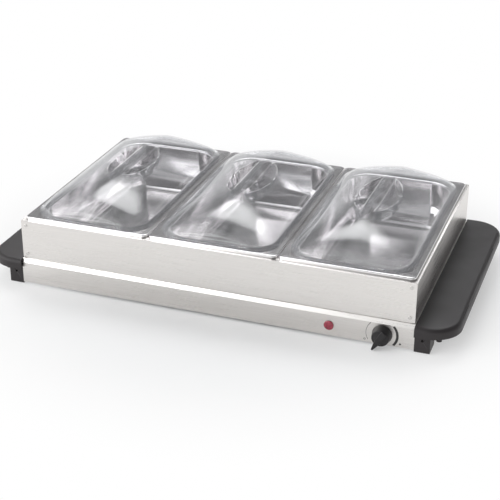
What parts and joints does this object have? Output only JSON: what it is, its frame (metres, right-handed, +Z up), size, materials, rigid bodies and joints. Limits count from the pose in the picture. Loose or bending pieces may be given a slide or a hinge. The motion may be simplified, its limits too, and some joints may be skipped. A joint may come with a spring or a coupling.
{
  "type": "electric buffet server",
  "caption": "Electric buffet server: heated steel base with carrying handles, lift-off frame, drop-in food pans and clear lids, front control knob and indicator lamp.",
  "frame": {"origin": "on the table surface, under the middle of the bounding box", "axes": "+X along the row of pans to the user's right, controls face -Y, +Z up"},
  "size_m": [0.63, 0.3452, 0.1299],
  "materials": {
    "stainless_steel": "brushed",
    "pan_steel": "satin polished",
    "clear_plastic": "clear moulded polycarbonate",
    "black_plastic": "fine texture",
    "rubber": "matt",
    "zinc_steel": "zinc plated",
    "aluminium": "mill",
    "red_lens": "clear red moulding",
    "lamp_glass": "clear",
    "element_sheath": "oxidised",
    "ceramic": null,
    "brass": "plain",
    "wire_brown": "satin",
    "wire_blue": "satin",
    "wire_green": "satin"
  },
  "bodies": {
    "root": {"base_housing": "stainless_steel", "bottom_cover": "zinc_steel", "bottom_cover_screws": "zinc_steel", "cable_gland": "black_plastic", "earth_tag": "zinc_steel", "element_pins": "zinc_steel", "element_straps": "zinc_steel", "foot_pad_front_left": "rubber", "foot_pad_front_right": "rubber", "foot_pad_rear_left": "rubber", "foot_pad_rear_right": "rubber", "gland_nut": "black_plastic", "handle_left": "black_plastic", "handle_right": "black_plastic", "handle_screws": "zinc_steel", "heat_shield": "aluminium", "heating_element": "element_sheath", "indicator_clip": "zinc_steel", "indicator_lens": "red_lens", "indicator_neon": "lamp_glass", "plate_studs": "zinc_steel", "shield_nuts": "zinc_steel", "shield_spacers": "zinc_steel", "terminal_block": "ceramic", "thermal_cutout": "aluminium", "thermostat_blades": "brass", "thermostat_block": "ceramic", "thermostat_bush": "brass", "thermostat_nut": "zinc_steel", "warming_plate": "stainless_steel", "wire_earth": "wire_green", "wire_heater": "wire_brown", "wire_lamp": "wire_blue", "wire_live": "wire_brown", "wire_neutral": "wire_blue"},
    "knob": {"control_knob": "black_plastic", "thermostat_shaft": "zinc_steel"},
    "tray_frame": {"crossbar_left": "stainless_steel", "crossbar_right": "stainless_steel", "frame_front_panel": "stainless_steel", "frame_left_panel": "stainless_steel", "frame_rear_panel": "stainless_steel", "frame_right_panel": "stainless_steel", "frame_rivets": "zinc_steel"},
    "pan_left_body": {"pan_left": "pan_steel"},
    "pan_centre_body": {"pan_centre": "pan_steel"},
    "pan_right_body": {"pan_right": "pan_steel"},
    "lid_left_body": {"lid_left": "clear_plastic"},
    "lid_centre_body": {"lid_centre": "clear_plastic"},
    "lid_right_body": {"lid_right": "clear_plastic"}
  },
  "joints": [
    {"name": "knob_turn", "type": "hinge", "parent": "root", "child": "knob", "pos_m": [0.224, -0.15762, 0.017], "axis": [0, 1, 0], "range_deg": [0, 270]},
    {"name": "frame_lift", "type": "slide", "parent": "root", "child": "tray_frame", "axis": [0, 0, 1], "range_m": [0, 0.1]},
    {"name": "pan_left_lift", "type": "slide", "parent": "tray_frame", "child": "pan_left_body", "axis": [0, 0, 1], "range_m": [0, 0.12]},
    {"name": "pan_centre_lift", "type": "slide", "parent": "tray_frame", "child": "pan_centre_body", "axis": [0, 0, 1], "range_m": [0, 0.12]},
    {"name": "pan_right_lift", "type": "slide", "parent": "tray_frame", "child": "pan_right_body", "axis": [0, 0, 1], "range_m": [0, 0.12]},
    {"name": "lid_left_lift", "type": "slide", "parent": "pan_left_body", "child": "lid_left_body", "axis": [0, 0, 1], "range_m": [0, 0.1]},
    {"name": "lid_centre_lift", "type": "slide", "parent": "pan_centre_body", "child": "lid_centre_body", "axis": [0, 0, 1], "range_m": [0, 0.1]},
    {"name": "lid_right_lift", "type": "slide", "parent": "pan_right_body", "child": "lid_right_body", "axis": [0, 0, 1], "range_m": [0, 0.1]}
  ]
}
